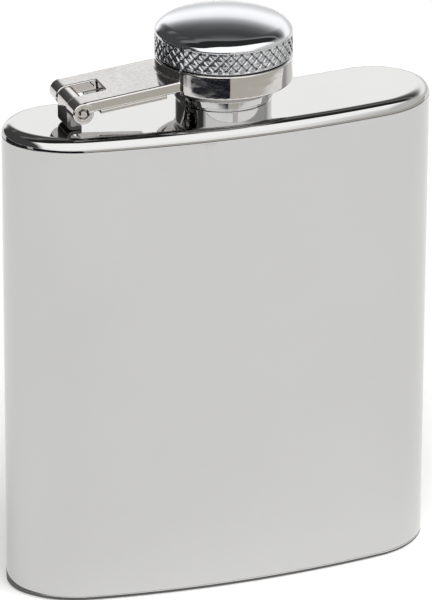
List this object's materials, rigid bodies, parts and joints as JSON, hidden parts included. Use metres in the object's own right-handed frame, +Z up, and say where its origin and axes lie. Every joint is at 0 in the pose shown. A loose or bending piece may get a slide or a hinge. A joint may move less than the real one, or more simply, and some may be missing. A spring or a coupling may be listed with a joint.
{
  "type": "hip flask",
  "caption": "Pocket flask with a kidney-shaped section and a knurled screw cap held captive on a hinged arm.",
  "frame": {"origin": "under the middle of the outline, on the flat face the flask stands on", "axes": "+Z up through the neck, +X away from the hinge, +Y towards the hollow back"},
  "size_m": [0.07, 0.022, 0.094],
  "materials": {
    "polished_steel": "mirror-polished stainless steel",
    "hinge_steel": "tumbled and polished stainless steel",
    "cap_chrome": "bright polished, with a diamond knurl on the grip band",
    "turned_steel": "fine lathe-turned stainless steel",
    "silicone": "translucent white food-grade silicone"
  },
  "bodies": {
    "flask": {"body_sleeve": "polished_steel", "base_plate": "polished_steel", "shoulder_plate": "polished_steel", "neck_tube": "polished_steel", "hinge_bracket": "hinge_steel", "hinge_pin": "hinge_steel"},
    "arm": {"captive_arm": "polished_steel"},
    "washer": {"retaining_washer": "turned_steel"},
    "cap": {"cap_shell": "cap_chrome", "threaded_sleeve": "turned_steel", "cap_gasket": "silicone"}
  },
  "joints": [
    {"name": "arm_pivot", "type": "hinge", "parent": "flask", "child": "arm", "pos_m": [-0.0248, -0.00091, 0.0821], "axis": [0, -1, 0], "range_deg": [0, 186]},
    {"name": "cap_lift", "type": "slide", "parent": "arm", "child": "washer", "axis": [0, 0, 1], "range_m": [0, 0.0024]},
    {"name": "cap_spin", "type": "hinge", "parent": "washer", "child": "cap", "pos_m": [0, -0.00091, 0.0891], "axis": [0, 0, 1], "range_deg": [0, 540]}
  ],
  "couplings": [
    {"joint": "cap_lift", "follows": "cap_spin", "m_per_rad": 0.0002546}
  ]
}
